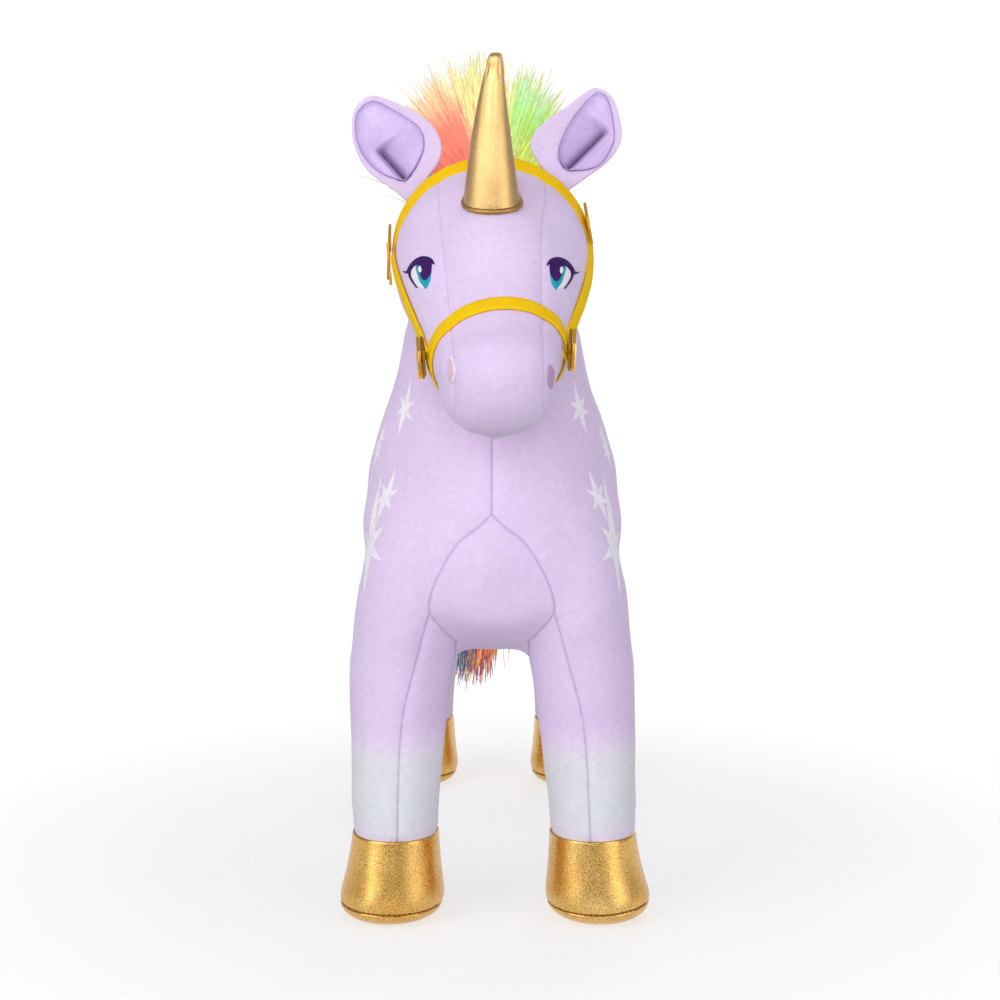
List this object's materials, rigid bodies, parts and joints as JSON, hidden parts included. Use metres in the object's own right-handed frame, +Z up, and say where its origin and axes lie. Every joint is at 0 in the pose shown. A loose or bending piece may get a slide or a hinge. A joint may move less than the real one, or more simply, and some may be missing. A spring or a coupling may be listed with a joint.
{
  "type": "plush unicorn",
  "caption": "Standing stuffed velour unicorn with gold hooves and horn, long-pile mane and tail, embroidered eyes and a ribbon halter.",
  "frame": {"origin": "floor level, under the middle of the whole object", "axes": "+Z up, the animal faces -Y, its own left is +X"},
  "size_m": [0.1324, 0.3926, 0.3709],
  "materials": {
    "velour": "short-pile lilac velour, fading to pale blue-grey above the hooves",
    "fibrefill": "white polyester fibrefill",
    "gold_lame": "metallic gold lame, fine knit grain",
    "horn_gold": "smooth pale gold foil knit",
    "satin": "lilac satin",
    "ribbon": "ribbed yellow grosgrain ribbon",
    "star_plate": "die-cut metallic gold leatherette",
    "eye_thread": "satin-stitched embroidery thread",
    "nose_thread": "satin-stitched embroidery thread",
    "mane_pile": "long soft pile in pastel rainbow colours",
    "tail_pile": "long soft pile in deep rainbow colours"
  },
  "bodies": {
    "trunk": {"belly_gusset": "velour", "inner_leg_front_left": "velour", "inner_leg_front_right": "velour", "inner_leg_rear_left": "velour", "inner_leg_rear_right": "velour", "side_panel_left": "velour", "side_panel_right": "velour", "torso_fill": "fibrefill", "neck_fill": "fibrefill", "leg_fill_front_left": "fibrefill", "leg_fill_front_right": "fibrefill", "leg_fill_rear_left": "fibrefill", "leg_fill_rear_right": "fibrefill", "hoof_cover_front_left": "gold_lame", "sole_front_left": "gold_lame", "hoof_cover_front_right": "gold_lame", "sole_front_right": "gold_lame", "hoof_cover_rear_left": "gold_lame", "sole_rear_left": "gold_lame", "hoof_cover_rear_right": "gold_lame", "sole_rear_right": "gold_lame", "neck_mane": "mane_pile"},
    "head": {"face_gusset": "velour", "head_panel_left": "velour", "head_panel_right": "velour", "head_fill": "fibrefill", "horn_cover": "horn_gold", "horn_fill": "fibrefill", "eye_embroidery_left": "eye_thread", "nostril_embroidery_left": "nose_thread", "eye_embroidery_right": "eye_thread", "nostril_embroidery_right": "nose_thread", "noseband": "ribbon", "crown_strap": "ribbon", "cheek_strap_left": "ribbon", "cheek_strap_right": "ribbon", "temple_star_left": "star_plate", "cheek_star_inner_left": "star_plate", "cheek_star_outer_left": "star_plate", "temple_star_right": "star_plate", "cheek_star_inner_right": "star_plate", "cheek_star_outer_right": "star_plate", "forelock": "mane_pile"},
    "ear_left": {"ear_back_left": "velour", "ear_lining_left": "satin"},
    "ear_right": {"ear_back_right": "velour", "ear_lining_right": "satin"},
    "tail": {"tail_fur": "tail_pile"}
  },
  "joints": [
    {"name": "head_turn", "type": "hinge", "parent": "trunk", "child": "head", "pos_m": [0, -0.0855, 0.246], "axis": [0, -0.2611, 0.9653], "range_deg": [-25, 25], "stiffness_Nm_per_rad": 0.6},
    {"name": "ear_left_flex", "type": "hinge", "parent": "head", "child": "ear_left", "pos_m": [0.033, -0.0945, 0.3185], "axis": [0.9397, 0, -0.342], "range_deg": [-15, 15], "stiffness_Nm_per_rad": 0.02},
    {"name": "ear_right_flex", "type": "hinge", "parent": "head", "child": "ear_right", "pos_m": [-0.036, -0.0945, 0.3165], "axis": [0.9272, 0, 0.3746], "range_deg": [-15, 15], "stiffness_Nm_per_rad": 0.02},
    {"name": "tail_swing", "type": "hinge", "parent": "trunk", "child": "tail", "pos_m": [-0.002, 0.1725, 0.2055], "axis": [1, 0, 0], "range_deg": [0, 60]}
  ]
}
